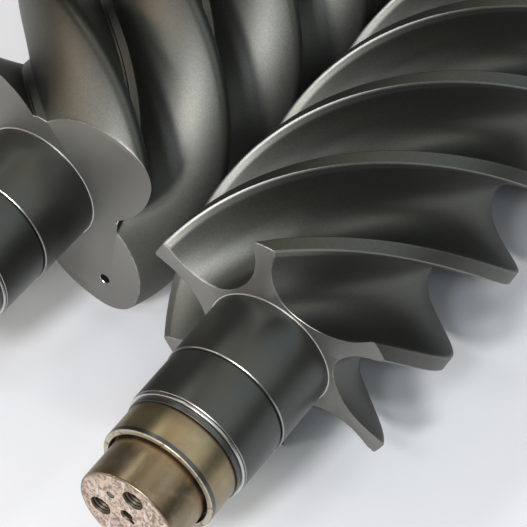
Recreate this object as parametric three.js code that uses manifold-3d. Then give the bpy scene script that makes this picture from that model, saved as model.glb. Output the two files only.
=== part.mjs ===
// A pair of screw compressor rotors, out of their casing and lying side by side.
// Millimetres, +Z up. Both axes run along Y and the front shaft ends point to -Y.
import * as THREE from 'three';
import { mergeVertices } from 'three/addons/utils/BufferGeometryUtils.js';
import Module from 'manifold-3d';

const wasm = await Module();
wasm.setup();

const degrees = THREE.MathUtils.degToRad;

// The helical bodies, which mesh 4 lobes to 6 blades at one axial pitch.
const BODY_LENGTH = 280;
const AXIAL_PITCH = 76.4;
const BLADES = 6;
const LOBES = 4;
const RIGHT_HAND = -1;
const LEFT_HAND = 1;

// The female rotor's transverse section.
const FEMALE_TIP_RADIUS = 82.5;
const FEMALE_ROOT_RADIUS = 42;
const BLADE_HALF_ANGLE = 4.25;
const FLUTE_BOTTOM_ANGLE = 4.9;
const FIRST_BLADE_ANGLE = 152.8;
const FEMALE_STEPS = 28;
const FLUTE_ARC_STEPS = 4;

// The male rotor's transverse section: three tangent arcs from one root corner over the tip to the other.
const LOBE_CORNER_RADIUS = 57.5;
const LOBE_CORNER_ANGLE = 37.2;
const LOBE_FIRST_HEADING = 2.2;
const LOBE_ARCS = [
  { radius: 50, sweep: 72.2, steps: 5 },
  { radius: 22.4, sweep: 70.1, steps: 6 },
  { radius: 59.6, sweep: 48.5, steps: 3 },
];
const FIRST_LOBE_ANGLE = 40.3;
const MALE_STEPS = 36;

// Where the male rotor lies, seen from the female one.
const MALE_SIDE_OFFSET = -174.3;
const MALE_BACK_OFFSET = 21.4;

// The shaft, measured outwards from the body's end face.
const SEAT_RADIUS = 32;
const JOURNAL_RADIUS = 30;
const JOURNAL_START = 84.4;
const SHAFT_END = 134.1;
const END_CHAMFER = 1.5;
const ROUND_SIDES = 24;
const FIT_GAP = 0.3;

// The rings on each shaft end: start, end, outer radius, bore radius and chamfer of the outer rim.
const SHAFT_RINGS = {
  inner_sleeve: { start: 0.3, end: 44.3, radius: 38.6, bore: SEAT_RADIUS + FIT_GAP, chamfer: 1.2 },
  outer_sleeve: { start: 44.6, end: 78.9, radius: 37.7, bore: SEAT_RADIUS + FIT_GAP, chamfer: 0.8 },
  lock_ring: { start: 79.2, end: 80.9, radius: 37.3, bore: SEAT_RADIUS + FIT_GAP, chamfer: 0.6 },
  spacer_ring: { start: 81.2, end: 84.4, radius: 36, bore: SEAT_RADIUS + FIT_GAP, chamfer: 0.3 },
  bearing_ring: { start: 84.7, end: 106.7, radius: 35.2, bore: JOURNAL_RADIUS + FIT_GAP, chamfer: 0.8 },
};
const BEARING_RECESS_RADIUS = 31.6;
const BEARING_RECESS_DEPTH = 5;

// Holes in the shaft's end face and in one male lobe.
const TAPPED_HOLE_RADIUS = 6;
const TAPPED_HOLE_DEPTH = 26;
const TAPPED_HOLE_CIRCLE = 17.5;
const TAPPED_HOLES = 3;
const CENTRE_HOLE_RADIUS = 3;
const CENTRE_HOLE_DEPTH = 7;
const PIN_RADIUS = 2;
const PIN_LENGTH = 12;
const PIN_CIRCLE = 14.5;
const PIN_ANGLE_FROM_HOLE = 58;
const HOLE_SIDES = 12;
const BALANCE_HOLE = { radius: 3.4, depth: 16, circle: 72.6, angle: -53.5 };
const FIRST_HOLE_ANGLE = { female_front: 74, female_rear: 90, male_front: 30, male_rear: 60 };

const COATED = new THREE.MeshStandardMaterial({ color: 0x55554f, roughness: 0.45, metalness: 0.7 });
const SLEEVE = new THREE.MeshStandardMaterial({ color: 0x3c3f3b, roughness: 0.35, metalness: 0.7 });
const BRIGHT = new THREE.MeshStandardMaterial({ color: 0xb8b9ba, roughness: 0.25, metalness: 1 });
const SPACER = new THREE.MeshStandardMaterial({ color: 0x4a4e4c, roughness: 0.3, metalness: 0.9 });
const STRAW = new THREE.MeshStandardMaterial({ color: 0x97845f, roughness: 0.3, metalness: 0.9 });
const GREY = new THREE.MeshStandardMaterial({ color: 0x7d7f83, roughness: 0.5, metalness: 0.8 });
const RING_MATERIALS = {
  inner_sleeve: SLEEVE,
  outer_sleeve: SLEEVE,
  lock_ring: BRIGHT,
  spacer_ring: SPACER,
  bearing_ring: STRAW,
};

// A point at a radius and an angle, in radians.
function polar(radius, angle) {
  return new THREE.Vector2(radius * Math.cos(angle), radius * Math.sin(angle));
}

// Points on an arc about a centre, both ends included.
function arc(centre, radius, from, to, steps) {
  return Array.from({ length: steps + 1 }, (_, i) =>
    polar(radius, from + (to - from) * i / steps).add(centre));
}

// Copies of a list of points, turned to evenly spaced angles.
function repeatAround(points, count, firstAngle) {
  return Array.from({ length: count }, (_, k) => firstAngle + 2 * Math.PI * k / count)
    .flatMap((angle) => points.map((point) => point.clone().rotateAround(new THREE.Vector2(), angle)));
}

// One flute about the +X axis: a radial wall on each side, and two arcs that meet on the root circle.
function fluteOutline() {
  const wall = Math.PI / BLADES - degrees(BLADE_HALF_ANGLE);
  const bottom = degrees(FLUTE_BOTTOM_ANGLE);
  const flank = (span) => FEMALE_ROOT_RADIUS * Math.sin(span) / (1 - Math.sin(span));
  const lowerRadius = flank(wall + bottom);
  const upperRadius = flank(wall - bottom);
  const lowerCentre = polar(FEMALE_ROOT_RADIUS + lowerRadius, bottom);
  const upperCentre = polar(FEMALE_ROOT_RADIUS + upperRadius, bottom);
  const root = Math.PI + bottom;
  return [
    polar(FEMALE_TIP_RADIUS, -wall),
    ...arc(lowerCentre, lowerRadius, 3 * Math.PI / 2 - wall, root, FLUTE_ARC_STEPS),
    ...arc(upperCentre, upperRadius, root, Math.PI / 2 + wall, FLUTE_ARC_STEPS).slice(1),
    polar(FEMALE_TIP_RADIUS, wall),
  ];
}

// One lobe about the +X axis. Each arc starts where the last one ends, in the same direction.
function lobeOutline() {
  const points = [polar(LOBE_CORNER_RADIUS, degrees(LOBE_CORNER_ANGLE))];
  let outward = degrees(LOBE_FIRST_HEADING) + Math.PI / 2;
  for (const { radius, sweep, steps } of LOBE_ARCS) {
    const centre = points.at(-1).clone().sub(polar(radius, outward));
    points.push(...arc(centre, radius, outward, outward - degrees(sweep), steps).slice(1));
    outward -= degrees(sweep);
  }
  return points.reverse();
}

// A closed mesh as a solid that can be joined and cut.
function toSolid(geometry) {
  geometry.deleteAttribute('normal');
  geometry.deleteAttribute('uv');
  const merged = mergeVertices(geometry, 1e-3);
  return new wasm.Manifold(new wasm.Mesh({
    numProp: 3,
    vertProperties: merged.attributes.position.array,
    triVerts: new Uint32Array(merged.index.array),
  }));
}

function toGeometry(solid) {
  const { vertProperties, triVerts } = solid.getMesh();
  const geometry = new THREE.BufferGeometry();
  geometry.setAttribute('position', new THREE.BufferAttribute(vertProperties, 3));
  geometry.setIndex(new THREE.BufferAttribute(triVerts, 1));
  return geometry;
}

// A section drawn in X and Z, carried back along Y from 0 to the body's length while it turns at a constant lead.
function helicalBody(outline, lead, hand, steps) {
  const shape = new THREE.Shape(outline);
  const geometry = new THREE.ExtrudeGeometry(shape, { depth: BODY_LENGTH, steps, bevelEnabled: false });
  geometry.translate(0, 0, -BODY_LENGTH);
  const { position } = geometry.attributes;
  const point = new THREE.Vector3();
  const axis = new THREE.Vector3(0, 0, 1);
  for (let i = 0; i < position.count; i++) {
    point.fromBufferAttribute(position, i);
    point.applyAxisAngle(axis, hand * 2 * Math.PI * -point.z / lead);
    position.setXYZ(i, point.x, point.y, point.z);
  }
  return geometry.rotateX(Math.PI / 2);
}

// The stepped shaft that runs through the body, turned about Y.
function shaft() {
  const front = [
    [0, -SHAFT_END],
    [JOURNAL_RADIUS - END_CHAMFER, -SHAFT_END],
    [JOURNAL_RADIUS, END_CHAMFER - SHAFT_END],
    [JOURNAL_RADIUS, -JOURNAL_START],
    [SEAT_RADIUS, -JOURNAL_START],
  ];
  const rear = front.map(([radius, y]) => [radius, BODY_LENGTH - y]).reverse();
  const outline = [...front, ...rear].map(([radius, y]) => new THREE.Vector2(radius, y));
  return new THREE.LatheGeometry(outline, ROUND_SIDES);
}

// A drill along Y that reaches from just outside a face into the steel. Direction 1 drills towards +Y.
function drill(radius, depth, circle, angle, face, direction) {
  const overrun = 1;
  const length = depth + overrun;
  const tool = new THREE.CylinderGeometry(radius, radius, length, HOLE_SIDES);
  const place = polar(circle, angle);
  const middle = face + direction * (length / 2 - overrun);
  return toSolid(tool.translate(place.x, middle, place.y));
}

// The holes in one shaft end face: tapped holes on a circle, the centre hole and the pin's hole.
function shaftEndHoles(endName, face, direction) {
  const first = degrees(FIRST_HOLE_ANGLE[endName]);
  const holes = Array.from({ length: TAPPED_HOLES }, (_, k) =>
    drill(TAPPED_HOLE_RADIUS, TAPPED_HOLE_DEPTH, TAPPED_HOLE_CIRCLE,
      first + 2 * Math.PI * k / TAPPED_HOLES, face, direction));
  const pinHole = drill(PIN_RADIUS + FIT_GAP, PIN_LENGTH + FIT_GAP, PIN_CIRCLE,
    first + degrees(PIN_ANGLE_FROM_HOLE), face, direction);
  return [...holes, pinHole, drill(CENTRE_HOLE_RADIUS, CENTRE_HOLE_DEPTH, 0, 0, face, direction)];
}

// One forging: the helical body, the shaft through it, and its holes.
function forging(name, body, extraHoles) {
  const holes = [
    ...shaftEndHoles(`${name}_front`, -SHAFT_END, 1),
    ...shaftEndHoles(`${name}_rear`, BODY_LENGTH + SHAFT_END, -1),
    ...extraHoles,
  ];
  const solid = holes.reduce((rest, hole) => rest.subtract(hole), toSolid(body).add(toSolid(shaft())));
  const mesh = new THREE.Mesh(toGeometry(solid), COATED);
  mesh.name = `${name}_rotor`;
  return mesh;
}

// A ring's section, with its chamfer on the rim that faces the shaft's end.
function ringOutline(kind, { start, end, radius, bore, chamfer }) {
  const outside = [[bore, start], [radius, start], [radius, end - chamfer], [radius - chamfer, end]];
  const inside = kind === 'bearing_ring'
    ? [[BEARING_RECESS_RADIUS, end], [BEARING_RECESS_RADIUS, end - BEARING_RECESS_DEPTH],
      [bore, end - BEARING_RECESS_DEPTH]]
    : [[bore, end]];
  return [...outside, ...inside, outside[0]];
}

// A distance out from the end face, as a place along Y.
function station(distance, isFront) {
  return isFront ? -distance : BODY_LENGTH + distance;
}

function shaftRing(kind, isFront) {
  const outline = ringOutline(kind, SHAFT_RINGS[kind])
    .map(([radius, distance]) => new THREE.Vector2(radius, station(distance, isFront)));
  return new THREE.LatheGeometry(isFront ? outline.reverse() : outline, ROUND_SIDES);
}

function endPin(endName, isFront) {
  const place = polar(PIN_CIRCLE, degrees(FIRST_HOLE_ANGLE[endName] + PIN_ANGLE_FROM_HOLE));
  const middle = station(SHAFT_END - PIN_LENGTH / 2, isFront);
  return new THREE.CylinderGeometry(PIN_RADIUS, PIN_RADIUS, PIN_LENGTH, HOLE_SIDES)
    .translate(place.x, middle, place.y);
}

// Everything on one rotor, about its own axis, raised so that its lowest tip touches the floor.
function rotor(name, body, extraHoles = []) {
  const group = new THREE.Group();
  const steel = forging(name, body, extraHoles);
  group.add(steel);
  for (const isFront of [true, false]) {
    const endName = `${name}_${isFront ? 'front' : 'rear'}`;
    for (const kind of Object.keys(SHAFT_RINGS)) {
      const ring = new THREE.Mesh(shaftRing(kind, isFront), RING_MATERIALS[kind]);
      ring.name = `${endName}_${kind}`;
      group.add(ring);
    }
    const pin = new THREE.Mesh(endPin(endName, isFront), GREY);
    pin.name = `${endName}_end_pin`;
    group.add(pin);
  }
  steel.geometry.computeBoundingBox();
  group.position.z = -steel.geometry.boundingBox.min.z;
  return group;
}

const fluteAngle = degrees(FIRST_BLADE_ANGLE) - Math.PI / BLADES;
const femaleOutline = repeatAround(fluteOutline(), BLADES, fluteAngle);
const femaleBody = helicalBody(femaleOutline, AXIAL_PITCH * BLADES, RIGHT_HAND, FEMALE_STEPS);
const female = rotor('female', femaleBody);

const maleOutline = repeatAround(lobeOutline(), LOBES, degrees(FIRST_LOBE_ANGLE));
const maleBody = helicalBody(maleOutline, AXIAL_PITCH * LOBES, LEFT_HAND, MALE_STEPS);
const balanceHole = drill(BALANCE_HOLE.radius, BALANCE_HOLE.depth, BALANCE_HOLE.circle,
  degrees(BALANCE_HOLE.angle), 0, 1);
const male = rotor('male', maleBody, [balanceHole]);
male.position.x = MALE_SIDE_OFFSET;
male.position.y = MALE_BACK_OFFSET;

// The origin is on the floor, under the middle of the pair.
const pair = new THREE.Group();
pair.add(female, male);
const middle = new THREE.Box3().setFromObject(pair).getCenter(new THREE.Vector3());
pair.position.set(-middle.x, -middle.y, 0);

export default pair;
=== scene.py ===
"""A pair of screw compressor rotors: fine helical bodies, turned shaft pieces, metal finishes and a studio.

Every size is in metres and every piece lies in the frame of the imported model, which is loaded first.
"""
import math

import bpy
import numpy as np
from bpy.props import FloatProperty, FloatVectorProperty, PointerProperty
from mathutils import Matrix, Vector


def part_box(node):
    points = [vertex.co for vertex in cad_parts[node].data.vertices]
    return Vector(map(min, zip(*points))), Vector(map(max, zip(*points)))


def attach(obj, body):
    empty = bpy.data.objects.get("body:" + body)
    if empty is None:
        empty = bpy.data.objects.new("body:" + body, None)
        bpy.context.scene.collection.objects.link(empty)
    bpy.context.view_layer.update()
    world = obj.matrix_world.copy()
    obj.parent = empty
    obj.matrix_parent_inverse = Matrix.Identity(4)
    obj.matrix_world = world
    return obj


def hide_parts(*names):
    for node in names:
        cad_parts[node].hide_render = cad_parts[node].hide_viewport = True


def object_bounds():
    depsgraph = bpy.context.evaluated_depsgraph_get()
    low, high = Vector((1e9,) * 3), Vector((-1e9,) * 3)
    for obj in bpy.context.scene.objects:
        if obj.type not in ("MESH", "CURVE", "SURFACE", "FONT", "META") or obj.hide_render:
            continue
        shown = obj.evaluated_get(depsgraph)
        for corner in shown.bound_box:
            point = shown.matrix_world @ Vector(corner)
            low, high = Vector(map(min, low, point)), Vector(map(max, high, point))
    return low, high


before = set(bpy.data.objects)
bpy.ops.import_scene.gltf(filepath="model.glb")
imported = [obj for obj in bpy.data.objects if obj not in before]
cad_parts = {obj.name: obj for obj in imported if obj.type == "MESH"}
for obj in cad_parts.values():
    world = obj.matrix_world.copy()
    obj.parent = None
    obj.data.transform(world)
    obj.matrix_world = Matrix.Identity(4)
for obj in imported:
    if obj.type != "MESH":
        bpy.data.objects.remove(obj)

bl_info = {
    "name": "Screw compressor rotors",
    "version": (1, 0, 0),
    "blender": (4, 5, 0),
    "location": "3D View > Sidebar > Rotors",
    "description": "Builds the helical bodies, shaft rings, finishes and studio of a pair of screw rotors",
    "category": "Object",
}

MM = 0.001
CAD_BOX = [list(corner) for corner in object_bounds()]
ROTORS = ("female", "male")
ENDS = ("front", "rear")
BLADES = 6
LOBES = 4
BLADE_ROWS = 158
LOBE_ROWS = 200
FIT_GAP = 0.3 * MM
SMOOTH_LIMIT = math.radians(32)
CORNER_POINTS = 5
SEAT_SIDES = 24
HOLE_SIDES = 32
SHAFT_HOLES = {"female_front": 74, "female_rear": 90, "male_front": 30, "male_rear": 60}
PIN_CIRCLE = 14.5 * MM
PIN_FROM_HOLE = 58


def rotor_place(rotor):
    """A rotor's axis in X and Z and its two end faces in Y, read off the sleeves that sit against them."""
    low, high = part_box(f"{rotor}_front_inner_sleeve")
    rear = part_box(f"{rotor}_rear_inner_sleeve")[0].y - FIT_GAP
    return {"x": (low.x + high.x) / 2, "z": (low.z + high.z) / 2, "front": high.y + FIT_GAP, "rear": rear}


PLACES = {rotor: rotor_place(rotor) for rotor in ROTORS}


def ring_span(node):
    """How far out from the body's end face a ring starts and ends, and its outer radius."""
    rotor, end = node.split("_")[:2]
    low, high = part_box(node)
    start, stop = sorted(abs(y - PLACES[rotor][end]) for y in (low.y, high.y))
    return start, stop, (high.x - low.x) / 2


def length(name, description, default):
    return FloatProperty(
        name=name, description=description, default=default, min=0, precision=5, unit="LENGTH")


def angle(name, description, degrees):
    return FloatProperty(name=name, description=description, default=math.radians(degrees), subtype="ANGLE")


def colour(name, description, default):
    return FloatVectorProperty(
        name=name, description=description, default=default, size=3, min=0, max=1, subtype="COLOR")


class FemaleSizes(bpy.types.PropertyGroup):
    tip_radius: length("Tip radius", "Radius over the blades", PLACES["female"]["z"])
    root_radius: length("Root radius", "Radius at the bottom of a flute", 42 * MM)
    lead: length("Lead", "Distance along the axis in which a blade turns once, right-handed", 458.4 * MM)
    strip_side_angle: angle("Strip side angle", "Angle from a blade's middle to its edge with the strip", 4.9)
    round_side_angle: angle("Round side angle", "Angle from a blade's middle to its rounded edge", 4.6)
    bottom_angle: angle("Bottom angle", "How far the flute's lowest line lies off its middle", 4.9)
    first_blade: angle("First blade", "Where one blade stands on the front end face", 152.8)
    strip_height: length("Strip height", "Height of the flat strip under one edge of a land", 5.0 * MM)
    strip_lip: length("Strip lip", "How far the strip's foot stands out past a radial wall", 0.45 * MM)
    neck_depth: length("Neck depth", "How far a blade is hollowed under its strip", 1.2 * MM)
    neck_middle: length("Neck middle", "How far below the tip that hollow is deepest", 16.5 * MM)
    neck_foot: length("Neck foot", "How far above the flute's bottom that hollow ends", 8 * MM)
    corner_round: length("Corner round", "Rounding of the land's other edge", 1.8 * MM)
    edge_break: length("Edge break", "Flat chamfer of the land's edge over the strip", 0.7 * MM)


class MaleSizes(bpy.types.PropertyGroup):
    corner_radius: length("Corner radius", "Radius of the corner where a lobe's outline starts", 57.5 * MM)
    corner_angle: angle("Corner angle", "How far that corner lies from the lobe's middle", 37.2)
    heading: angle("Heading", "Slope of the lobe's outline at that corner", 2.2)
    front_arc: length("Front arc", "Radius of the lobe's first arc", 50.0 * MM)
    front_sweep: angle("Front sweep", "Angle of the first arc", 72.2)
    nose_arc: length("Nose arc", "Radius of the arc over the tip", 22.4 * MM)
    nose_sweep: angle("Nose sweep", "Angle of the arc over the tip", 70.1)
    back_arc: length("Back arc", "Radius of the lobe's last arc", 59.6 * MM)
    back_sweep: angle("Back sweep", "Angle of the last arc", 48.5)
    flank_run: length("Flank run", "How far the lobe's flank runs on past the corner", 1.9 * MM)
    land_radius: length("Land radius", "Radius of the narrow land between lobes", 55.9 * MM)
    groove_width: length("Groove width", "Width of the groove at a lobe's foot", 2.4 * MM)
    groove_depth: length("Groove depth", "Depth of that groove", 1.0 * MM)
    lead: length("Lead", "Distance along the axis in which a lobe turns once, left-handed", 305.6 * MM)
    first_lobe: angle("First lobe", "Where one lobe stands on the front end face", 40.3)
    hole_circle: length("Hole circle", "Distance of the balance hole from the axis", 72.6 * MM)
    hole_angle: angle("Hole angle", "Where the balance hole stands on the front end face", -53.5)
    hole_radius: length("Hole radius", "Radius of the balance hole", 3.4 * MM)
    hole_depth: length("Hole depth", "Depth of the balance hole", 15 * MM)


class ShaftSizes(bpy.types.PropertyGroup):
    seat_radius: length("Seat radius", "Shaft radius under the sleeves", 32 * MM)
    journal_radius: length("Journal radius", "Shaft radius in the bearing", 30 * MM)
    end_chamfer: length("End chamfer", "Chamfer round the shaft's end face", 1.2 * MM)
    face_chamfer: length("Face chamfer", "Broken edge round the body's end faces", 0.3 * MM)
    tapped_radius: length("Tapped hole radius", "Outer radius of the thread in the end face", 6 * MM)
    tapped_circle: length("Tapped hole circle", "Radius of the circle of tapped holes", 17.5 * MM)
    tapped_depth: length("Tapped hole depth", "Depth of a tapped hole", 25 * MM)
    thread_pitch: length("Thread pitch", "Distance from one thread to the next", 1.75 * MM)
    neck_depth: length("Neck depth", "Depth of the groove at the start of the outer sleeve", 0.7 * MM)
    neck_width: length("Neck width", "Width of that groove", 1.1 * MM)
    collar_height: length("Collar height", "Height of the thin collar round the sleeve's foot", 0.45 * MM)
    contact: length("Contact", "What stays open between the body's end face and the sleeve on it", 0.05 * MM)
    centre_radius: length("Centre hole radius", "Radius of the lathe centre's hole", 3 * MM)
    recess_radius: length("Recess radius", "Radius of the recess in the bearing ring's outer face", 31.6 * MM)
    recess_depth: length("Recess depth", "Depth of that recess", 5 * MM)


class FinishColours(bpy.types.PropertyGroup):
    coating: colour("Coating", "Satin coating on the helical flanks", (0.126, 0.127, 0.113))
    end_face: colour("End face", "Milled end faces of the bodies", (0.238, 0.235, 0.217))
    sleeve: colour("Sleeve", "Dark coating of the sleeves", (0.09, 0.094, 0.088))
    bare_steel: colour("Bare steel", "Chamfers, rims and worn edges", (0.55, 0.545, 0.53))
    straw: colour("Straw", "Heat tint where the rollers ran", (0.32, 0.255, 0.155))
    rust: colour("Rust", "Thin rust and dried oil", (0.25, 0.11, 0.035))
    journal: colour("Journal", "Brown stain on the end journals", (0.232, 0.189, 0.119))
    shaft_end: colour("Shaft end", "Mottled end faces of the shafts", (0.507, 0.389, 0.308))
    floor: colour("Floor", "Pale sheet that the rotors lie on", (0.80, 0.815, 0.84))


class StageSizes(bpy.types.PropertyGroup):
    camera_offset: FloatVectorProperty(
        name="Camera offset", description="Camera from the middle of the female rotor's front end face",
        default=(0.41933, -0.63937, 0.93272), size=3, subtype="TRANSLATION", unit="LENGTH")
    azimuth: angle("Azimuth", "Direction that the camera looks along, turned from +Y", 33.485)
    elevation: angle("Elevation", "How far down the camera looks", 48.422)
    lens: FloatProperty(name="Lens", description="Focal length in mm on a 36 mm wide picture", default=149.05)
    floor_size: length("Floor size", "Width of the floor", 8.0)


def settings(group):
    """One of the scene's property groups."""
    return getattr(bpy.context.scene, f"rotors_{group}")


# Surfaces

def polar(radius, turned):
    """The point at a radius and an angle, or a row of points for a row of radii."""
    return np.multiply.outer(radius, (math.cos(turned), math.sin(turned)))


def turn(points, angles):
    """Points of a plane section turned about its origin, a copy for each angle: shape (angles, points, 2)."""
    c, s = np.cos(angles)[:, None], np.sin(angles)[:, None]
    x, z = points[:, 0][None], points[:, 1][None]
    return np.stack([x * c - z * s, x * s + z * c], axis=-1)


def arc(centre, radius, start, end, count):
    """Points on a circle about a centre, from a start angle to an end angle."""
    a = np.linspace(start, end, count)
    return np.stack([centre[0] + radius * np.cos(a), centre[1] + radius * np.sin(a)], axis=-1)


def line(start, end, count):
    """Evenly spaced points from start to end."""
    t = np.linspace(0, 1, count)[:, None]
    return start * (1 - t) + end * t


def curve(start, corner, end, count):
    """A short curve that a corner pulls out: (1-t)^2 start + 2t(1-t) corner + t^2 end."""
    t = np.linspace(0, 1, count)[:, None]
    return start * (1 - t) ** 2 + corner * 2 * t * (1 - t) + end * t ** 2


def toward(corner, point, reach):
    """The point a reach away from a corner on the way to another point."""
    way = point - corner
    return corner + way / np.linalg.norm(way, axis=-1, keepdims=True) * reach


def bend(before, corner, after, rounding, count=6):
    """A corner's curve that starts and ends a rounding away from it."""
    return curve(toward(corner, before, rounding), corner, toward(corner, after, rounding), count)


def rounded_profile(points, rounds):
    """A closed profile whose corners are curves between points on their two sides."""
    points = np.asarray(points, dtype=float)
    rounds = rounds[:, None]
    start = toward(points, np.roll(points, 1, axis=0), rounds)
    end = toward(points, np.roll(points, -1, axis=0), rounds)
    return curve(start[:, None], points[:, None], end[:, None], CORNER_POINTS).reshape(-1, 2)


def on_axis(place, flat, y):
    """Points of a plane section set on a rotor's axis, y behind its front end face."""
    return np.stack([place["x"] + flat[:, 0], np.full(len(flat), place["front"] + y),
                     place["z"] + flat[:, 1]], axis=-1)


def ring_points(radius, first, count):
    """Points on a circle about the origin, from a first angle on."""
    return arc((0, 0), radius, first, first + 2 * np.pi, count + 1)[:-1]


def smooth(mesh):
    """Smooth shading, with a sharp edge where faces meet more steeply than the limit."""
    mesh.shade_smooth()
    mesh.set_sharp_from_angle(angle=SMOOTH_LIMIT)


def mesh_object(name, corners, faces, finishes=(), wear=None):
    """A mesh from its corner points and its faces, turned outwards by the enclosed volume.

    faces holds pairs of an array of corner numbers, one face a row, and the number of those faces' finish.
    wear holds one number for each corner, kept as an attribute for the finishes.
    """
    fans = np.concatenate([np.stack([rows[:, 0], rows[:, i], rows[:, i + 1]], axis=-1)
                           for rows, _ in faces for i in range(1, rows.shape[1] - 1)])
    a, b, c = (corners[fans[:, i]] for i in range(3))
    if np.einsum("ij,ij->", a, np.cross(b, c)) < 0:
        faces = [(rows[:, ::-1], finish) for rows, finish in faces]
    sizes = np.concatenate([np.full(len(rows), rows.shape[1]) for rows, _ in faces])
    loops = np.concatenate([rows.ravel() for rows, _ in faces])
    chosen = np.concatenate([np.broadcast_to(finish, len(rows)) for rows, finish in faces])
    mesh = bpy.data.meshes.new(name)
    mesh.vertices.add(len(corners))
    mesh.vertices.foreach_set("co", corners.astype(np.float32).ravel())
    mesh.loops.add(len(loops))
    mesh.loops.foreach_set("vertex_index", loops.astype(np.int32))
    mesh.polygons.add(len(sizes))
    mesh.polygons.foreach_set("loop_start", (np.cumsum(sizes) - sizes).astype(np.int32))
    mesh.update(calc_edges=True)
    if wear is not None:
        attribute = mesh.attributes.new("edge_wear", "FLOAT", "POINT")
        attribute.data.foreach_set("value", wear.astype(np.float32))
    smooth(mesh)
    for finish in finishes:
        mesh.materials.append(finish)
    mesh.polygons.foreach_set("material_index", chosen.astype(np.int32))
    piece = bpy.data.objects.new(name, mesh)
    bpy.context.scene.collection.objects.link(piece)
    return piece


def grid_quads(rows, columns, closed_rows):
    """Corner numbers of the quads between neighbouring rows, each row running round to its own start."""
    below = np.arange(rows if closed_rows else rows - 1)[:, None]
    side = np.arange(columns)[None]
    above, beside = (below + 1) % rows, (side + 1) % columns
    return np.stack([below * columns + side, below * columns + beside,
                     above * columns + beside, above * columns + side], axis=-1).reshape(-1, 4)


def fan(pole, ring, backwards=False):
    """Triangles from a pole to a ring of corner numbers."""
    beside = np.roll(ring, -1)
    first, second = (beside, ring) if backwards else (ring, beside)
    return np.stack([np.full(len(ring), pole), first, second], axis=-1)


def closed_surface(name, grid, poles=None, chosen=0, ends=(0, 0), finishes=()):
    """A closed body from rows of points, each row a ring.

    With poles, two points close the first and the last row. Without them the last row joins the first.
    chosen is the finish of all bands between rows, or one for each band. ends holds those of the end fans.
    """
    rows, columns = grid.shape[:2]
    corners = grid.reshape(-1, 3)
    quads = grid_quads(rows, columns, poles is None)
    bands = len(quads) // columns
    faces = [(quads, np.repeat(np.broadcast_to(chosen, bands), columns))]
    if poles is not None:
        side = np.arange(columns)
        faces.append((fan(len(corners), side, backwards=True), ends[0]))
        faces.append((fan(len(corners) + 1, side + (rows - 1) * columns), ends[1]))
        corners = np.concatenate([corners, np.asarray(poles, dtype=float)])
    return mesh_object(name, corners, faces, finishes)


def lathe(profile, sides, centre):
    """A profile of radius and Y turned about an axis along Y: one row of points for each profile point."""
    a = np.linspace(0, 2 * np.pi, sides, endpoint=False)
    radius, y = profile[:, 0][:, None], profile[:, 1][:, None]
    return np.stack([centre[0] + radius * np.cos(a), y + 0 * a, centre[1] + radius * np.sin(a)], axis=-1)


def neck(radius, lip, depth, top, middle, foot):
    """How far a blade's flank is hollowed at a radius: minus the lip at the top, the depth at the middle.

    Above the middle it is a quarter sine wave, and below it fades to 0 at the foot as half a cosine wave.
    """
    above = np.clip((top - radius) / (top - middle), 0, 1)
    below = np.clip((radius - foot) / (middle - foot), 0, 1)
    return ((lip + depth) * np.sin(above * np.pi / 2) - lip) * (1 - np.cos(below * np.pi)) / 2


def female_section(sizes):
    """One blade half, a flute and the next blade half, about +X, with the wear of each point.

    The flute is two arcs that meet on the root circle and run tangent into radial walls. The far wall is
    hollowed from a sharp edge downwards, which leaves a flat strip between that edge and the land.
    """
    tip, root, bottom = sizes.tip_radius, sizes.root_radius, sizes.bottom_angle
    half = math.pi / BLADES
    near, far = half - sizes.round_side_angle, half - sizes.strip_side_angle

    def flute_arc(lean):
        """Radius and centre of one of the flute's arcs, and where on its wall it ends."""
        radius = root * math.sin(lean) / (1 - math.sin(lean))
        return radius, polar(root + radius, bottom), (root + radius) * math.cos(lean)

    near_radius, near_centre, near_end = flute_arc(near + bottom)
    far_radius, far_centre, far_end = flute_arc(far - bottom)
    rounding = sizes.corner_round
    reach = math.sqrt((tip - rounding) ** 2 - rounding ** 2)
    lean = math.asin(rounding / (tip - rounding))
    a = np.linspace(lean, -math.pi / 2, 9)
    round_edge = (polar(reach + rounding * np.cos(a), -near)
                  + polar(rounding * (1 + np.sin(a)), -near - math.pi / 2))
    chamfer = sizes.edge_break
    chamfer_angle = far + chamfer / tip
    crease = tip - sizes.strip_height
    near_flank = np.concatenate([
        line(round_edge[-1], polar(near_end, -near), 8)[1:-1],
        arc(near_centre, near_radius, 1.5 * np.pi - near, np.pi + bottom, 27)])
    far_flank = np.concatenate([
        arc(far_centre, far_radius, np.pi + bottom, np.pi / 2 + far, 19)[1:-1],
        polar(np.linspace(far_end, crease, 22), far)])
    hollow = neck(np.hypot(*far_flank.T), sizes.strip_lip, sizes.neck_depth,
                  crease, tip - sizes.neck_middle, root + sizes.neck_foot)
    far_flank += polar(hollow, far + math.pi / 2)
    land_step = 0.3 * MM / tip
    parts = [
        (arc((0, 0), tip, -half, -near - lean, 6)[:-1], 0.0),
        (round_edge, 0.3),
        (near_flank, 0.0),
        (far_flank, 0.0),
        (line(far_flank[-1], polar(tip - chamfer, far), 5)[1:-1], 0.12),
        (np.stack([polar(tip - chamfer, far), polar(tip, chamfer_angle)]), 0.8),
        (arc((0, 0), tip, chamfer_angle + land_step, half, 6)[:-1], 0.0),
    ]
    points = np.concatenate([part for part, _ in parts])
    wear = np.concatenate([np.full(len(part), value) for part, value in parts])
    return points, wear


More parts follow.
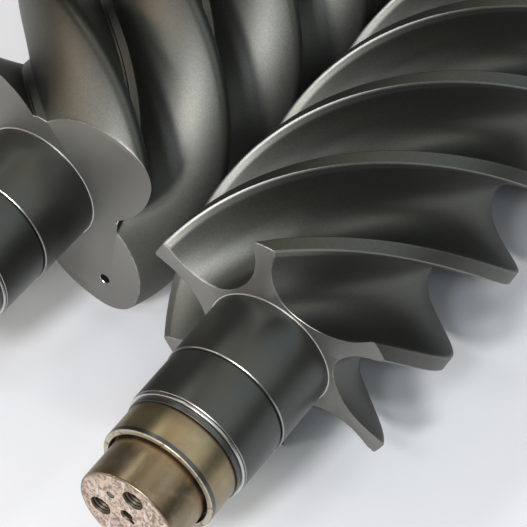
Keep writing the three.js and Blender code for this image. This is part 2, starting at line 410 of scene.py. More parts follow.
def male_section(sizes):
    """One lobe about +X and the narrow land after it, with the wear of each point.

    The lobe is three tangent arcs, each starting where the last one ends. The land ends in a shallow groove
    at the foot of the next lobe.
    """
    points = [polar(sizes.corner_radius, sizes.corner_angle)[None]]
    outward = sizes.heading + math.pi / 2
    arcs = ((sizes.front_arc, sizes.front_sweep, 22), (sizes.nose_arc, sizes.nose_sweep, 20),
            (sizes.back_arc, sizes.back_sweep, 16))
    for radius, sweep, count in arcs:
        centre = points[-1][-1] - polar(radius, outward)
        points.append(arc(centre, radius, outward, outward - sweep, count)[1:])
        outward -= sweep
    lobe = np.concatenate(points)[::-1]
    land = sizes.land_radius
    corner, flank = lobe[-1], lobe[-2]
    foot = toward(corner, 2 * corner - flank, sizes.flank_run)
    foot *= land / np.linalg.norm(foot)
    land_start = math.atan2(foot[1], foot[0])
    next_foot = turn(lobe[:2], np.array([2 * math.pi / LOBES]))[0]
    groove = math.atan2(next_foot[0][1], next_foot[0][0]) - sizes.groove_width / land
    slope = 0.3 * MM / land
    ledge = polar(land, groove)
    sunk = polar(land - sizes.groove_depth, groove + slope)
    land_middle = polar(land, (land_start + groove) / 2)
    points = np.concatenate([
        lobe[1:],
        bend(corner, foot, land_middle, 0.8 * MM),
        land_middle[None],
        bend(land_middle, ledge, sunk, 0.2 * MM, 4),
        bend(ledge, sunk, next_foot[0], 0.2 * MM, 4),
        bend(sunk, next_foot[0], next_foot[1], 0.7 * MM)])
    return points, np.zeros(len(points))


def outward_normals(section):
    """Unit normals of a closed counterclockwise section, from the chord between each point's neighbours."""
    chord = np.roll(section, -1, axis=0) - np.roll(section, 1, axis=0)
    normal = np.stack([chord[:, 1], -chord[:, 0]], axis=-1)
    return normal / np.linalg.norm(normal, axis=1, keepdims=True)


def face_polygons(outline, ring, sectors, hole=None):
    """Flat polygons that fill an end face between its outline and the shaft, one for each sector.

    outline and ring are corner numbers. In a sector with a hole, two polygons pass on either side of it.
    """
    step, arc_step = len(outline) // sectors, len(ring) // sectors
    polygons = []
    for k in range(sectors):
        outer = np.take(outline, np.arange(k * step, (k + 1) * step + 1), mode="wrap")
        inner = np.take(ring, np.arange((k + 1) * arc_step, k * arc_step - 1, -1), mode="wrap")
        if hole and hole[0] == k:
            _, rim, top = hole
            half = len(rim) // 2
            middle = arc_step // 2
            polygons.append(np.concatenate([outer[:top + 1], rim[:half + 1], inner[middle:]]))
            polygons.append(np.concatenate([outer[top:], inner[:middle + 1], rim[half:], rim[:1]]))
        else:
            polygons.append(np.concatenate([outer, inner]))
    return polygons


def helical_body(rotor, section, wear, count, first, lead, hand, rows, hole=None):
    """The closed mesh of one rotor body and of the shaft seat that carries its sleeves.

    A section point at angle a and distance y from the front face lies at angle a + hand 2 pi y / lead. Both
    ends draw in to a broken edge and close with flat polygons round the seat.
    """
    shaft = settings("shaft")
    place = PLACES[rotor]
    depth = place["rear"] - place["front"]
    outline = turn(section, first + np.arange(count) * 2 * np.pi / count).reshape(-1, 2)
    inset = outline - outward_normals(outline) * shaft.face_chamfer
    columns = len(outline)
    sides = count * SEAT_SIDES
    around = ring_points(1.0, math.atan2(outline[0, 1], outline[0, 0]), sides)
    seat_end = ring_span(f"{rotor}_front_spacer_ring")[1]
    sleeve = ring_span(f"{rotor}_front_inner_sleeve")[2]
    collar = [(around * (sleeve + size * MM), high * shaft.collar_height) for size, high in
              ((0.15, 0), (0.15, 1), (0.45, 1), (0.85, 0.6), (1.1, 0))]
    foot = [(around * shaft.seat_radius, seat_end), (around * shaft.seat_radius, 0)] + collar
    end_step = 1.2 * MM
    stations = np.concatenate([[shaft.face_chamfer], np.linspace(end_step, depth - end_step, rows),
                               [depth - shaft.face_chamfer]])
    entries = ([(points, -out) for points, out in foot] + [(inset, 0)] + [(outline, y) for y in stations]
               + [(inset, depth)] + [(points, depth + out) for points, out in reversed(foot)])
    blocks, starts = [], [0]
    for points, y in entries:
        twist = hand * 2 * np.pi * min(max(y, 0), depth) / lead
        blocks.append(on_axis(place, turn(points, np.array([twist]))[0], y))
        starts.append(starts[-1] + len(points))
    row = [np.arange(starts[i], starts[i + 1]) for i in range(len(entries))]
    steps = len(foot)
    body = starts[steps] + grid_quads(rows + 4, columns, False)
    front_foot = grid_quads(steps, sides, False)
    foot_finish = np.repeat([2, 2, 3, 3, 3, 1], sides)
    faces = [
        (body[columns:-columns], 0),
        (np.concatenate([body[:columns], body[-columns:]]), 4),
        (front_foot, foot_finish),
        (starts[-1 - steps] + front_foot, foot_finish[::-1]),
    ]
    poles = starts[-1]
    middle = np.zeros((1, 2))
    blocks += [on_axis(place, middle, -seat_end), on_axis(place, middle, depth + seat_end)]
    faces += [(fan(poles, row[0], backwards=True), 2), (fan(poles + 1, row[-1]), 2)]
    front_hole = None
    if hole:
        sector, top, centre, radius, deep = hole
        broken = 0.35 * MM
        rim = ring_points(1.0, math.atan2(centre[1], centre[0]), HOLE_SIDES)[::-1]
        for size, y in ((radius + broken, 0), (radius, broken), (radius, deep)):
            blocks.append(on_axis(place, centre + size * rim, y))
        blocks.append(on_axis(place, centre[None], deep + radius / 2))
        at = poles + 2
        side = np.arange(HOLE_SIDES)
        wall = at + grid_quads(3, HOLE_SIDES, False)
        faces += [(wall[:HOLE_SIDES], 3), (wall[HOLE_SIDES:], 2),
                  (fan(at + 3 * HOLE_SIDES, at + 2 * HOLE_SIDES + side), 2)]
        front_hole = (sector, at + np.roll(side, 1), top)
    front = face_polygons(row[steps], row[steps - 1], count, front_hole)
    rear = face_polygons(row[-1 - steps], row[-steps], count)
    faces += [(polygon[None, ::-1], 1) for polygon in front] + [(polygon[None], 1) for polygon in rear]
    corners = np.concatenate(blocks)
    corner_wear = np.zeros(len(corners))
    corner_wear[starts[steps + 1]:starts[-2 - steps]] = np.tile(wear, count * len(stations))
    return corners, faces, corner_wear


def settle(piece, *nodes, slot):
    """The piece rides on the one body and stands for its nodes, which it hides. slot is not used."""
    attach(piece, "root")
    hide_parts(*nodes)


# Finishes

class Signal:
    """A number that varies over a surface. Arithmetic on it adds Math nodes."""

    def __init__(self, finish, socket):
        self.finish = finish
        self.socket = socket

    def math(self, operation, *values):
        return self.finish.node("ShaderNodeMath", {"operation": operation}, dict(enumerate(values)))

    def __add__(self, other):
        return self.math("ADD", self, other)

    def __sub__(self, other):
        return self.math("SUBTRACT", self, other)

    def __rsub__(self, other):
        return self.math("SUBTRACT", other, self)

    def __mul__(self, other):
        return self.math("MULTIPLY", self, other)

    def __abs__(self):
        return self.math("ABSOLUTE", self)

    __radd__ = __add__
    __rmul__ = __mul__


class Finish:
    """One material and the few kinds of node that the finishes are made from."""

    def __init__(self, name):
        self.material = bpy.data.materials.new(name)
        self.material.use_nodes = True
        self.tree = self.material.node_tree
        self.shader = self.tree.nodes["Principled BSDF"]

    def node(self, kind, choices, inputs, output=0):
        """A node of a kind: its choices are set first, then its sockets are linked or given a value."""
        made = self.tree.nodes.new(kind)
        for name, value in choices.items():
            setattr(made, name, value)
        for key, value in inputs.items():
            self.feed(made.inputs[key], value)
        return Signal(self, made.outputs[output])

    def feed(self, socket, value):
        if isinstance(value, Signal):
            self.tree.links.new(value.socket, socket)
        elif isinstance(value, (tuple, list)) and len(value) == 3 and socket.type == "RGBA":
            socket.default_value = (*value, 1)
        else:
            socket.default_value = value

    def surface(self, tone, roughness, metallic=1.0, normal=None):
        """Feeds the shader and gives the finished material."""
        sockets = {"Base Color": tone, "Roughness": roughness, "Metallic": metallic}
        if normal:
            sockets["Normal"] = normal
        for name, value in sockets.items():
            self.feed(self.shader.inputs[name], value)
        return self.material

    def coordinates(self, rotor=None, stretch=(1, 1, 1)):
        """Object coordinates, measured from the middle of a rotor's body where one is named."""
        place = PLACES[rotor] if rotor else {"x": 0, "z": 0, "front": 0, "rear": 0}
        middle = (place["x"], (place["front"] + place["rear"]) / 2, place["z"])
        where = self.node("ShaderNodeTexCoord", {}, {}, output="Object")
        offset = tuple(-m * s for m, s in zip(middle, stretch))
        return self.node("ShaderNodeMapping", {}, {"Vector": where, "Location": offset, "Scale": stretch})

    def distance_out(self, rotor):
        """Distance along the shaft from the nearer end face of the body, in millimetres."""
        half = (PLACES[rotor]["rear"] - PLACES[rotor]["front"]) / 2
        along = self.node("ShaderNodeSeparateXYZ", {}, {0: self.coordinates(rotor)}, output="Y")
        return (abs(along) - half) * (1 / MM)

    def noise(self, scale, detail=3.0, roughness=0.55, stretch=(1, 1, 1), vector=None):
        vector = vector or self.coordinates(stretch=stretch)
        return self.node("ShaderNodeTexNoise", {}, {
            "Vector": vector, "Scale": scale, "Detail": detail, "Roughness": roughness})

    def ramp(self, signal, low, high):
        """0 below low, 1 above high and a smooth rise between. With low above high it falls."""
        return self.node("ShaderNodeMapRange", {"interpolation_type": "SMOOTHSTEP"}, {
            "Value": signal, "From Min": low, "From Max": high, "To Min": 0.0, "To Max": 1.0})

    def band(self, signal, start, end, soft):
        """1 between start and end, falling to 0 over a soft width on each side."""
        return self.ramp(signal, start - soft, start + soft) * self.ramp(signal, end + soft, end - soft)

    def blend(self, mask, first, second):
        """A colour between two, by a mask."""
        inputs = {0: mask, 6: first, 7: second}
        return self.node("ShaderNodeMix", {"data_type": "RGBA"}, inputs, output=2)

    def vary(self, mask, name, low, high):
        """One of the scene's colours, by a mask between two of its shades."""
        return self.blend(mask, shade(name, low), shade(name, high))

    def attribute(self, name):
        return self.node("ShaderNodeAttribute", {"attribute_name": name}, {}, output="Fac")

    def bump(self, height, strength, depth):
        return self.node("ShaderNodeBump", {}, {"Height": height, "Strength": strength, "Distance": depth})


def shade(name, factor):
    """One of the scene's colours, made lighter or darker."""
    return tuple(min(1.0, c * factor) for c in getattr(settings("colours"), name))


def coating_finish():
    """Satin coating on the flanks: fine grain, faint cloudy patches, and bare metal along the edges."""
    finish = Finish("satin_rotor_coating")
    grain = finish.noise(1000, detail=2)
    clouds = finish.noise(22, detail=4)
    specks = finish.ramp(finish.noise(900, detail=2), 0.70, 0.78)
    wear_noise = finish.noise(420, detail=4)
    worn = finish.attribute("edge_wear") * (0.55 + wear_noise * 0.5)
    tone = finish.vary(clouds, "coating", 0.93, 1.07)
    tone = finish.blend(finish.ramp(grain, 0.35, 0.65) * 0.3, tone, shade("coating", 0.5))
    tone = finish.blend(specks * 0.2, tone, shade("coating", 1.6))
    tone = finish.blend(worn, tone, shade("bare_steel", 0.5))
    return finish.surface(tone, 0.47 + clouds * 0.04 - worn * 0.04, normal=finish.bump(grain, 0.5, 0.08 * MM))


def end_face_finish():
    """Flat, even grey of the milled end faces."""
    finish = Finish("milled_end_face")
    grain = finish.noise(1800, detail=2)
    tone = finish.vary(finish.noise(30, detail=3), "end_face", 0.95, 1.05)
    return finish.surface(tone, 0.5 + grain * 0.06, normal=finish.bump(grain, 0.25, 0.04 * MM))


def broken_edge_finish():
    """The lightly broken edge round the end faces."""
    finish = Finish("broken_edge")
    rubbed = finish.ramp(finish.noise(180, detail=4), 0.4, 0.65)
    return finish.surface(finish.vary(rubbed, "end_face", 0.9, 1.5), 0.46 - rubbed * 0.06)


def sleeve_finish():
    """Smooth dark greenish coating with very faint turning marks."""
    finish = Finish("dark_sleeve_coating")
    clouds = finish.noise(40, detail=4)
    turned = finish.noise(90, detail=3, stretch=(0.02, 30, 0.02))
    specks = finish.ramp(finish.noise(700, detail=1), 0.77, 0.80)
    tone = finish.vary(clouds, "sleeve", 0.9, 1.1)
    tone = finish.blend(specks * 0.25, tone, shade("sleeve", 2.2))
    marks = finish.bump(turned, 0.08, 0.02 * MM)
    return finish.surface(tone, 0.36 + clouds * 0.05 + turned * 0.03, 0.9, marks)


def bare_steel_finish(name="bare_turned_steel", brightness=1.0):
    """Bright turned metal with fine rings and a little dirt."""
    finish = Finish(name)
    turned = finish.noise(120, detail=3, stretch=(0.05, 40, 0.05))
    dirt = finish.ramp(finish.noise(160, detail=5), 0.52, 0.75)
    tone = finish.blend(dirt * 0.5, shade("bare_steel", brightness), (0.24, 0.21, 0.17))
    rings = finish.bump(turned, 0.15, 0.02 * MM)
    return finish.surface(tone, 0.24 + turned * 0.12 + dirt * 0.15, normal=rings)


def dark_ring_finish():
    """Oiled dark steel of the spacer rings."""
    finish = Finish("oiled_dark_ring")
    clouds = finish.noise(70, detail=4)
    tone = finish.blend(clouds, (0.07, 0.075, 0.07), (0.14, 0.145, 0.13))
    return finish.surface(tone, 0.3 + clouds * 0.12, 0.9)


def race_finish(rotor, start, end):
    """The bearing ring: straw tint where the rollers ran, rust at one edge, a grey band at the other."""
    finish = Finish(f"tinted_race_{rotor}")
    out = finish.distance_out(rotor)
    wander = (finish.noise(60, detail=5) - 0.5) * 1.6
    patches = finish.noise(38, detail=6, roughness=0.62)
    streaks = finish.noise(60, detail=5, stretch=(1.0, 0.12, 1.0))
    straw = finish.vary(finish.ramp(patches, 0.3, 0.7), "straw", 0.72, 1.25)
    straw = finish.blend(finish.ramp(streaks, 0.42, 0.72) * 0.5, straw, (0.25, 0.22, 0.15))
    edge_tint = finish.ramp(out + wander, start + 8.5, start + 0.5)
    straw = finish.blend(edge_tint * 0.6, straw, (0.20, 0.17, 0.115))
    rust_line = finish.band(out + wander * 0.5, start + 0.5, start + 1.2, 0.5)
    straw = finish.blend(rust_line * 0.8, straw, shade("rust", 0.5))
    grey_band = finish.ramp(out + wander * 0.12, end - 3.2, end - 2.9)
    tone = finish.blend(grey_band, straw, (0.115, 0.117, 0.118))
    lip = finish.ramp(out, end - 0.5, end - 0.25)
    crust = finish.ramp(finish.noise(260, detail=5), 0.5, 0.68)
    tone = finish.blend(lip, tone, finish.blend(crust * 0.8, (0.50, 0.46, 0.37), shade("rust", 0.8)))
    return finish.surface(tone, 0.3 + patches * 0.12 + rust_line * 0.25 + lip * 0.15, 0.95)


def journal_finish(rotor, lip):
    """The end journal: brown stain in streaks along the shaft, patches of rust by the bearing ring, and a
    painted shadow towards the ring's lip.
    """
    finish = Finish(f"stained_journal_{rotor}")
    out = finish.distance_out(rotor)
    streaks = finish.noise(46, detail=6, roughness=0.62, stretch=(1.0, 0.14, 1.0))
    broad = finish.noise(26, detail=3, stretch=(1.0, 0.3, 1.0))
    patches = finish.noise(85, detail=6, roughness=0.62)
    fine = finish.noise(420, detail=4, stretch=(1, 0.4, 1))
    tone = finish.vary(finish.ramp(streaks, 0.34, 0.66), "journal", 0.42, 1.25)
    tone = finish.blend(finish.ramp(broad, 0.42, 0.62) * 0.6, tone, (0.20, 0.155, 0.10))
    tone = finish.blend(finish.ramp(patches, 0.5, 0.72) * 0.4, tone, (0.42, 0.38, 0.28))
    near_lip = finish.ramp(out, lip + 12, lip - 1)
    rust_mask = finish.ramp(patches + near_lip * 0.16, 0.56, 0.74) * near_lip
    tone = finish.blend(rust_mask * 0.4, tone, shade("rust", 1.6))
    # Painted shadow: the journal darkens towards the bearing ring's lip.
    shadow = finish.ramp(out, lip + 3.0, lip + 0.2)
    tone = finish.blend(shadow * 0.55, tone, (0.05, 0.035, 0.02))
    tone = finish.blend(finish.ramp(fine, 0.6, 0.8) * 0.25, tone, (0.62, 0.55, 0.42))
    pitting = finish.bump(fine, 0.12, 0.03 * MM)
    return finish.surface(tone, 0.28 + patches * 0.14 + rust_mask * 0.2, 0.92, pitting)


def shaft_end_finish():
    """The shaft's end face: pinkish steel, closely mottled with brown, and slanting light scratches."""
    finish = Finish("mottled_shaft_end")
    mottle = finish.noise(420, detail=6, roughness=0.7)
    patches = finish.noise(90, detail=4)
    slant = finish.node("ShaderNodeMapping", {}, {
        "Vector": finish.coordinates(), "Rotation": (0, math.radians(38), 0), "Scale": (1.0, 1.0, 0.28)})
    scratches = finish.noise(420, detail=5, vector=slant)
    tone = finish.vary(finish.ramp(mottle, 0.44, 0.58), "shaft_end", 1.15, 0.42)
    tone = finish.blend(finish.ramp(patches, 0.45, 0.7) * 0.35, tone, shade("shaft_end", 0.5))
    tone = finish.blend(finish.ramp(scratches, 0.52, 0.66) * 0.6, tone, (0.74, 0.66, 0.62))
    return finish.surface(tone, 0.42 + mottle * 0.12, 0.75, finish.bump(scratches, 0.3, 0.05 * MM))


def thread_finish():
    """Very dark brown with some lighter brown, for the threads and cut holes, and painted shade in the
    bearing ring's recess.
    """
    finish = Finish("oily_thread")
    tone = finish.blend(finish.noise(300, detail=4), (0.03, 0.023, 0.016), (0.13, 0.11, 0.08))
    return finish.surface(tone, 0.48, 0.7)


def pin_finish():
    finish = Finish("dull_pin")
    tone = finish.blend(finish.noise(500, detail=3), (0.09, 0.09, 0.09), (0.15, 0.15, 0.147))
    return finish.surface(tone, 0.5, 0.9)


def floor_finish():
    finish = Finish("pale_floor")
    return finish.surface(finish.vary(finish.noise(2.0, detail=2), "floor", 0.985, 1.015), 0.6, 0.0)


FINISHES = {}


def shared(maker, *values):
    """The finish that a maker gives for these values, made once."""
    key = (maker.__name__, *values)
    if key not in FINISHES:
        FINISHES[key] = maker(*values)
    return FINISHES[key]


# Pieces

def build_body(rotor, *shape):
    """One helical body from its section, wear, count, first angle, lead, hand, rows and perhaps a hole."""
    corners, faces, wear = helical_body(rotor, *shape)
    makers = (coating_finish, end_face_finish, sleeve_finish, bare_steel_finish, broken_edge_finish)
    finishes = [shared(maker) for maker in makers]
    piece = mesh_object(f"{rotor}_helical_body", corners, faces, finishes, wear)
    settle(piece, f"{rotor}_rotor", slot="coated_rotor_steel")


class ROTORS_OT_female_body(bpy.types.Operator):
    """Six right-handed blades with their flutes, tip strips and end faces"""
    bl_idname = "rotors.female_body"
    bl_label = "Female rotor body"

    def execute(self, context):
        sizes = settings("female")
        section, wear = female_section(sizes)
        shift = len(section) - int(np.argmin(np.hypot(*section.T)))
        section, wear = np.roll(section, shift, axis=0), np.roll(wear, shift)
        section[shift:] = turn(section[shift:], np.array([2 * math.pi / BLADES]))[0]
        first = sizes.first_blade - math.pi / BLADES
        build_body("female", section, wear, BLADES, first, sizes.lead, -1, BLADE_ROWS)
        return {"FINISHED"}


class ROTORS_OT_male_body(bpy.types.Operator):
    """Four left-handed round lobes with their end faces and the balance hole"""
    bl_idname = "rotors.male_body"
    bl_label = "Male rotor body"

    def execute(self, context):
        sizes = settings("male")
        section, wear = male_section(sizes)
        hole_place = polar(sizes.hole_circle, sizes.hole_angle)
        beside_hole = 0.06
        top = int(np.argmin(abs(np.arctan2(section[:, 1], section[:, 0]) - beside_hole)))
        hole = (LOBES - 1, top, hole_place, sizes.hole_radius, sizes.hole_depth)
        build_body("male", section, wear, LOBES, sizes.first_lobe, sizes.lead, 1, LOBE_ROWS, hole)
        return {"FINISHED"}


def pairs(kinds):
    """Every rotor, end and kind of ring."""
    return [(rotor, end, kind) for rotor in ROTORS for end in ENDS for kind in kinds]


def at_end(profile, rotor, end):
    """A profile of radius and distance out, moved to its shaft end in Y."""
    out = profile[:, 1] if end == "rear" else -profile[:, 1]
    return np.stack([profile[:, 0], PLACES[rotor][end] + out], axis=-1)


def build_ring(rotor, end, kind, corners, rounds, finishes, chosen, slot, sides=144):
    """A turned ring from its section's corners, rounded by rounds in millimetres.

    chosen picks the finish of each side after a corner.
    """
    profile = rounded_profile(corners, np.array(rounds) * MM)
    place = PLACES[rotor]
    grid = lathe(at_end(profile, rotor, end), sides, (place["x"], place["z"]))
    node = f"{rotor}_{end}_{kind}"
    piece = closed_surface(
        f"{node}_turned", grid, chosen=np.repeat(chosen, CORNER_POINTS), finishes=finishes)
    settle(piece, node, slot=slot)


class ROTORS_OT_sleeves(bpy.types.Operator):
    """The two dark sleeves on each shaft end, with bright chamfers"""
    bl_idname = "rotors.sleeves"
    bl_label = "Sleeves"

    def execute(self, context):
        for rotor, end, kind in pairs(("inner_sleeve", "outer_sleeve")):
            build_sleeve(rotor, end, kind)
        return {"FINISHED"}


def build_sleeve(rotor, end, kind):
    shaft = settings("shaft")
    start, stop, radius = ring_span(f"{rotor}_{end}_{kind}")
    bore = shaft.seat_radius + FIT_GAP
    inner = kind == "inner_sleeve"
    start = shaft.contact if inner else start
    bevel = (0.6 if inner else 0.45) * MM
    corners = [(bore, start), (radius, start), (radius, stop - bevel), (radius - bevel, stop), (bore, stop)]
    rounds = [0.1, 0.1, 0.15, 0.15, 0.1]
    chosen = [0, 0, 1, 0, 0]
    if not inner:
        neck_radius, neck_end = radius - shaft.neck_depth, start + shaft.neck_width
        broken = 0.25 * MM
        corners[1:2] = [(neck_radius, start), (neck_radius, neck_end), (radius - broken, neck_end),
                        (radius, neck_end + broken)]
        rounds[1:2] = [0.05, 0.1, 0.08, 0.1]
        chosen[1:2] = [2, 0, 1, 0]
    rim = shared(bare_steel_finish, "sleeve_rim_steel", 0.6)
    finishes = [shared(sleeve_finish), rim, shared(dark_ring_finish)]
    build_ring(rotor, end, kind, corners, rounds, finishes, chosen, "sleeve_coating", sides=160)


class ROTORS_OT_lock_and_spacer_rings(bpy.types.Operator):
    """The bright lock ring and the dark spacer ring on each shaft end"""
    bl_idname = "rotors.lock_and_spacer_rings"
    bl_label = "Lock and spacer rings"

    def execute(self, context):
        bore = settings("shaft").seat_radius + FIT_GAP
        kinds = {
            "lock_ring": ([0.1, 0.5, 0.55, 0.1], bare_steel_finish, "bright_steel"),
            "spacer_ring": ([0.1, 0.15, 0.3, 0.1], dark_ring_finish, "dark_steel"),
        }
        for rotor, end, kind in pairs(kinds):
            start, stop, radius = ring_span(f"{rotor}_{end}_{kind}")
            corners = [(bore, start), (radius, start), (radius, stop), (bore, stop)]
            rounds, maker, slot = kinds[kind]
            build_ring(rotor, end, kind, corners, rounds, [shared(maker)], [0] * 4, slot)
        return {"FINISHED"}


class ROTORS_OT_bearing_rings(bpy.types.Operator):
    """The inner ring of the roller bearing on each shaft end, with its recessed lip"""
    bl_idname = "rotors.bearing_rings"
    bl_label = "Bearing rings"

    def execute(self, context):
        shaft = settings("shaft")
        bore = shaft.journal_radius + FIT_GAP
        for rotor, end, kind in pairs(("bearing_ring",)):
            start, stop, radius = ring_span(f"{rotor}_{end}_{kind}")
            corners = [(bore, start), (radius - 0.4 * MM, start), (radius, start + 0.5 * MM),
                       (radius, stop - 0.5 * MM), (radius - 0.6 * MM, stop), (shaft.recess_radius, stop),
                       (shaft.recess_radius, stop - shaft.recess_depth), (bore, stop - shaft.recess_depth)]
            rounds = [0.1, 0.15, 0.2, 0.3, 0.3, 0.4, 0.5, 0.1]
            finishes = [shared(race_finish, rotor, start / MM, stop / MM), shared(thread_finish)]
            # The recess's wall and floor take the very dark thread finish: painted shade in the recess.
            chosen = [0, 0, 0, 0, 0, 1, 1, 0]
            build_ring(rotor, end, kind, corners, rounds, finishes, chosen, "tinted_race_steel", sides=160)
        return {"FINISHED"}


def drill(centre, radius, depth, face, direction, pitch=0.0, countersink=0.4 * MM, point=0.5):
    """A closed cutter for one hole along Y: a cone at the mouth, a wall with perhaps a thread, a pointed end.

    The thread is a triangle wave of the distance down the hole less the turn, over the pitch.
    """
    overrun = 1.0 * MM
    turns = np.linspace(0, 2 * np.pi, 40, endpoint=False)[None]
    step = pitch / 8 if pitch else depth / 3
    down = np.concatenate([[-overrun, 0.0], np.arange(countersink, depth, step)])[:, None] + 0 * turns
    rows = radius + np.maximum(countersink - down, 0)
    if pitch:
        wave = np.abs(((down / pitch - turns / (2 * np.pi)) % 1.0) * 2 - 1)
        rows -= wave * 0.5 * pitch * np.clip((down - countersink) / pitch, 0, 1)
    grid = np.stack([centre[0] + rows * np.cos(turns), face + direction * down,
                     centre[1] + rows * np.sin(turns)], axis=-1)
    poles = [(centre[0], face - direction * overrun, centre[1]),
             (centre[0], face + direction * (depth + radius * point), centre[1])]
    return closed_surface("hole_cutter", grid, poles)


def cut(piece, cutters, cut_finish):
    """The piece less its cutters, by an exact boolean for each, with the cut faces in their own finish."""
    for cutter in cutters:
        cutter.data.materials.append(cut_finish)
        modifier = piece.modifiers.new("hole", "BOOLEAN")
        modifier.operation = "DIFFERENCE"
        modifier.solver = "EXACT"
        modifier.material_mode = "TRANSFER"
        modifier.object = cutter
    evaluated = piece.evaluated_get(bpy.context.evaluated_depsgraph_get())
    result = bpy.data.meshes.new_from_object(evaluated)
    piece.modifiers.clear()
    old = piece.data
    piece.data = result
    bpy.data.meshes.remove(old)
    for cutter in cutters:
        mesh = cutter.data
        bpy.data.objects.remove(cutter)
        bpy.data.meshes.remove(mesh)


class ROTORS_OT_journals(bpy.types.Operator):
    """The end journal of each shaft end, with its tapped holes and centre hole"""
    bl_idname = "rotors.journals"
    bl_label = "End journals"

    def execute(self, context):
        for rotor, end, kind in pairs(("bearing_ring",)):
            build_journal(rotor, end, kind)
        return {"FINISHED"}


def build_journal(rotor, end, kind):
    shaft = settings("shaft")
    place = PLACES[rotor]
    low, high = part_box(f"{rotor}_rotor")
    start, stop, _ = ring_span(f"{rotor}_{end}_{kind}")
    face, direction = (low.y, 1) if end == "front" else (high.y, -1)
    tip = abs(face - place[end])
    radius, bevel = shaft.journal_radius, shaft.end_chamfer
    corner = np.array([radius, tip])
    edge = curve(corner - (0, bevel), corner, corner - (bevel, 0), CORNER_POINTS)
    outline = np.concatenate([[(radius, start), (radius, stop)], edge, [(radius - bevel - 0.5 * MM, tip)]])
    profile = at_end(outline, rotor, end)
    grid = lathe(profile, 128, (place["x"], place["z"]))
    poles = [(place["x"], profile[0, 1], place["z"]), (place["x"], profile[-1, 1], place["z"])]
    finishes = [shared(journal_finish, rotor, stop / MM), shared(shaft_end_finish), shared(thread_finish)]
    chosen = [0] * 6 + [1]
    piece = closed_surface(f"{rotor}_{end}_journal", grid, poles, chosen, (0, 1), finishes)
    first = SHAFT_HOLES[f"{rotor}_{end}"]

    def hole(circle, degrees, hole_radius, depth, **details):
        x, z = polar(circle, math.radians(degrees))
        return drill((place["x"] + x, place["z"] + z), hole_radius, depth, face, direction, **details)

    tapped = [hole(shaft.tapped_circle, first + 120 * k, shaft.tapped_radius, shaft.tapped_depth,
                   pitch=shaft.thread_pitch) for k in range(3)]
    centre = hole(0, 0, shaft.centre_radius, 7 * MM, countersink=0.9 * MM)
    nick = hole(4.6 * MM, first - 118, 1.4 * MM, 6 * MM, countersink=0.2 * MM)
    pin = hole(PIN_CIRCLE, first + PIN_FROM_HOLE, 2.3 * MM, 12.3 * MM, countersink=0.1 * MM, point=0)
    cut(piece, [*tapped, centre, nick, pin], shared(thread_finish))
    smooth(piece.data)
    settle(piece, f"{rotor}_rotor", slot="coated_rotor_steel")


class ROTORS_OT_end_pins(bpy.types.Operator):
    """The small pin set flush in each shaft end face"""
    bl_idname = "rotors.end_pins"
    bl_label = "End pins"

    def execute(self, context):
        bevel = 0.25 * MM
        for rotor, end, kind in pairs(("end_pin",)):
            low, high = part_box(f"{rotor}_{end}_{kind}")
            radius = (high.x - low.x) / 2
            centre = ((low.x + high.x) / 2, (low.z + high.z) / 2)
            profile = np.array([(radius - bevel, low.y), (radius, low.y + bevel),
                                (radius, high.y - bevel), (radius - bevel, high.y)])
            poles = [(centre[0], low.y, centre[1]), (centre[0], high.y, centre[1])]
            piece = closed_surface(f"{rotor}_{end}_flush_pin", lathe(profile, 40, centre), poles,
                                   finishes=[shared(pin_finish)])
            settle(piece, f"{rotor}_{end}_{kind}", slot="dull_pin_steel")
        return {"FINISHED"}


# Stage

LIGHTS = {
    # name: azimuth from the front and elevation in degrees, width, power in watts and colour
    "key_lamp": (5, 34, 0.3, 37.0, (1.0, 0.98, 0.985)),
    "low_key_lamp": (5, 22, 0.3, 21.5, (0.99, 1.0, 0.963)),
    "left_fill_lamp": (-40, 34, 0.3, 9.4, (1.0, 1.0, 0.943)),
    "high_front_lamp": (12, 46, 0.3, 9.3, (0.846, 0.868, 1.0)),
    "right_fill_lamp": (35, 46, 0.3, 7.6, (0.868, 0.957, 1.0)),
    "low_left_lamp": (-60, 22, 0.3, 8.5, (1.0, 0.744, 0.57)),
    "right_panel": (108, 36, 1.3, 6.6, (1.0, 0.97, 0.868)),
    "high_right_panel": (120, 62, 1.3, 6.3, (1.0, 0.947, 0.922)),
    "high_back_panel": (180, 62, 1.3, 6.1, (1.0, 0.91, 0.755)),
    "front_left_lamp": (-8, 46, 0.3, 5.8, (0.922, 0.911, 1.0)),
    "high_left_lamp": (-120, 60, 0.3, 5.2, (0.983, 1.0, 0.892)),
    "back_right_panel": (144, 36, 1.3, 5.1, (0.483, 0.798, 1.0)),
}
LIGHT_DISTANCE = 2.6
LIGHT_TARGET = Vector((0, 0, 0.1))
FLOOR_DROP = 0.05 * MM


class ROTORS_OT_stage(bpy.types.Operator):
    """The pale floor, the soft lights and the camera"""
    bl_idname = "rotors.stage"
    bl_label = "Stage"

    def execute(self, context):
        sizes = settings("stage")
        bpy.ops.mesh.primitive_plane_add(size=sizes.floor_size, location=(0, 0, 0))
        floor = context.object
        floor.name = "floor"
        floor.data.transform(Matrix.Translation((0, 0, CAD_BOX[0][2] - FLOOR_DROP)))
        floor.data.materials.append(floor_finish())
        add_camera(sizes)
        add_lights()
        context.scene.view_settings.view_transform = "Standard"
        return {"FINISHED"}


def from_front(azimuth, elevation):
    """The direction with an azimuth, turned from -Y towards +X, and an elevation."""
    level = math.cos(elevation)
    return Vector((math.sin(azimuth) * level, -math.cos(azimuth) * level, math.sin(elevation)))


def aim(item, away):
    """Adds a camera or lamp to the scene with its back to a direction."""
    bpy.context.scene.collection.objects.link(item)
    item.rotation_euler = (-away).to_track_quat("-Z", "Y").to_euler()


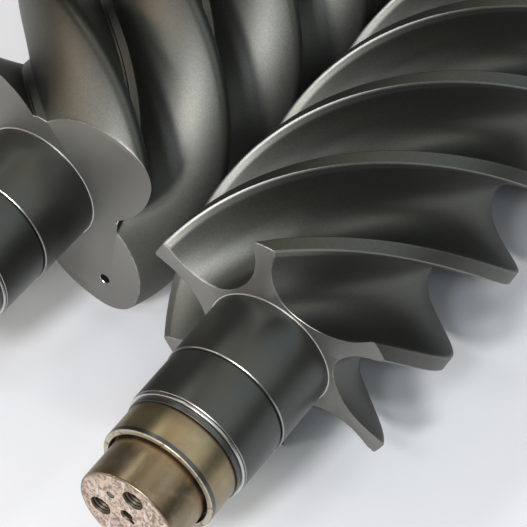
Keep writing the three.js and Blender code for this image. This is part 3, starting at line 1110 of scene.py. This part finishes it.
def add_camera(sizes):
    place = PLACES["female"]
    data = bpy.data.cameras.new("camera")
    data.lens = sizes.lens
    data.sensor_width = 36
    data.clip_end = 50
    camera = bpy.data.objects.new("camera", data)
    camera.location = Vector((place["x"], place["front"], place["z"])) + Vector(sizes.camera_offset)
    aim(camera, from_front(sizes.azimuth, sizes.elevation))
    bpy.context.scene.camera = camera


def add_lights():
    world = bpy.data.worlds.new("studio")
    bpy.context.scene.world = world
    world.use_nodes = True
    world.node_tree.nodes["Background"].inputs["Strength"].default_value = 0.0
    for name, (azimuth, elevation, width, power, tone) in LIGHTS.items():
        data = bpy.data.lights.new(name, "AREA")
        data.shape = "SQUARE"
        data.size, data.energy, data.color = width, power, tone
        light = bpy.data.objects.new(name, data)
        away = from_front(math.radians(azimuth), math.radians(elevation))
        light.location = LIGHT_TARGET + away * LIGHT_DISTANCE
        aim(light, away)


OPERATORS = (
    ROTORS_OT_female_body,
    ROTORS_OT_male_body,
    ROTORS_OT_sleeves,
    ROTORS_OT_lock_and_spacer_rings,
    ROTORS_OT_bearing_rings,
    ROTORS_OT_journals,
    ROTORS_OT_end_pins,
    ROTORS_OT_stage,
)
GROUPS = {
    "female": FemaleSizes,
    "male": MaleSizes,
    "shaft": ShaftSizes,
    "colours": FinishColours,
    "stage": StageSizes,
}


class ROTORS_PT_panel(bpy.types.Panel):
    bl_idname = "ROTORS_PT_panel"
    bl_label = "Screw compressor rotors"
    bl_space_type = "VIEW_3D"
    bl_region_type = "UI"
    bl_category = "Rotors"

    def draw(self, context):
        for group in GROUPS:
            box = self.layout.box()
            box.label(text=group.capitalize())
            for name in GROUPS[group].__annotations__:
                box.prop(settings(group), name)
        for operator in OPERATORS:
            self.layout.operator(operator.bl_idname)


def register():
    for group, kind in GROUPS.items():
        bpy.utils.register_class(kind)
        setattr(bpy.types.Scene, f"rotors_{group}", PointerProperty(type=kind))
    for operator in OPERATORS:
        bpy.utils.register_class(operator)
    bpy.utils.register_class(ROTORS_PT_panel)


def unregister():
    bpy.utils.unregister_class(ROTORS_PT_panel)
    for operator in reversed(OPERATORS):
        bpy.utils.unregister_class(operator)
    for group, kind in reversed(GROUPS.items()):
        delattr(bpy.types.Scene, f"rotors_{group}")
        bpy.utils.unregister_class(kind)


def main():
    register()
    for operator in OPERATORS:
        group, name = operator.bl_idname.split(".")
        getattr(getattr(bpy.ops, group), name)()


if __name__ == "__main__":
    main()
